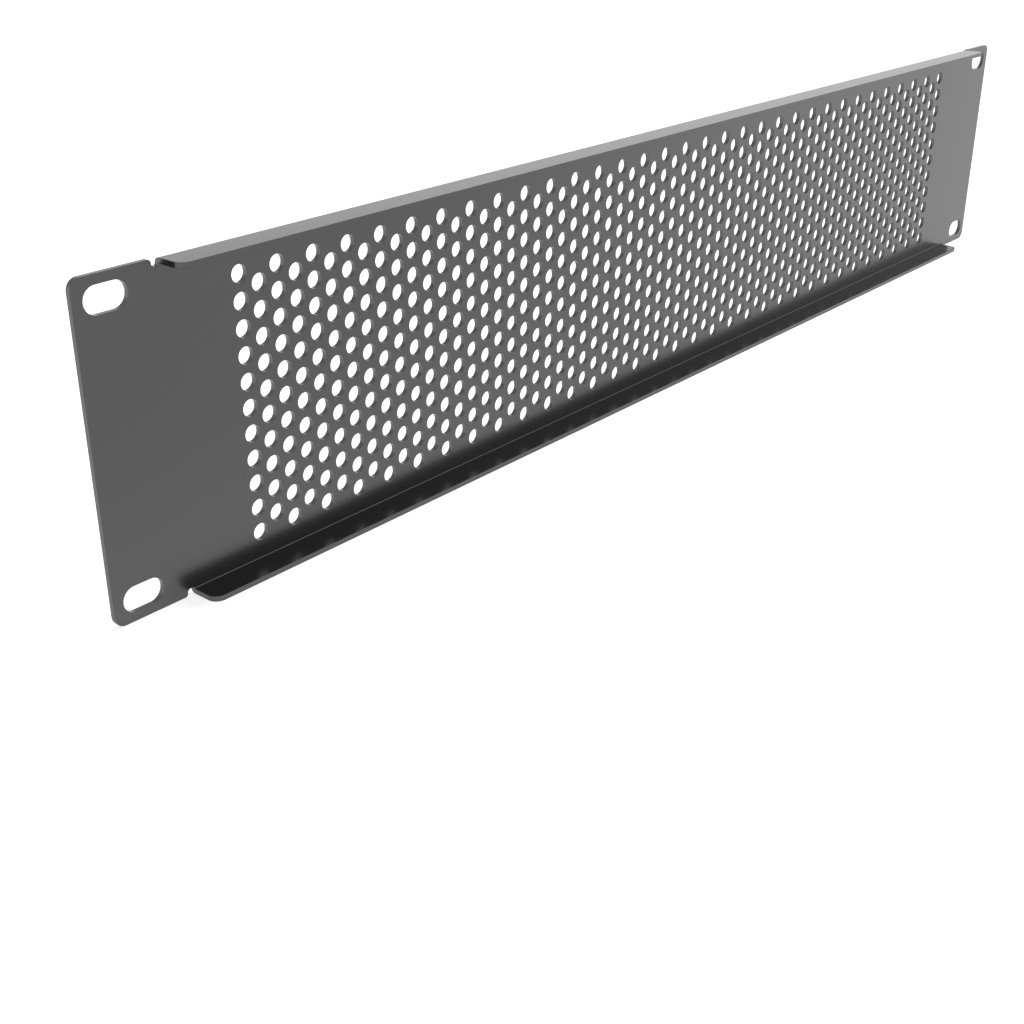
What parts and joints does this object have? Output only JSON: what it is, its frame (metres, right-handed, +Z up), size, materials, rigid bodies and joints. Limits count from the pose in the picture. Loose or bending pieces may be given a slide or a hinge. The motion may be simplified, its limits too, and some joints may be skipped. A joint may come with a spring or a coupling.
{
  "type": "rack blanking panel",
  "caption": "Vented blanking panel for a 19-inch rack, two units high: one folded sheet with a staggered field of round holes, top and bottom flanges and slotted ears.",
  "frame": {"origin": "middle of the rear face of the web and ears, the face that meets the rack's rails", "axes": "+Z up, +X along the panel's length, the plain front faces -Y and the flanges point to +Y"},
  "size_m": [0.482, 0.01, 0.088],
  "materials": {
    "powder_coated_steel": "dark grey metallic powder coat, satin, with a faint orange peel"
  },
  "bodies": {
    "root": {"vented_panel": "powder_coated_steel"}
  },
  "joints": []
}
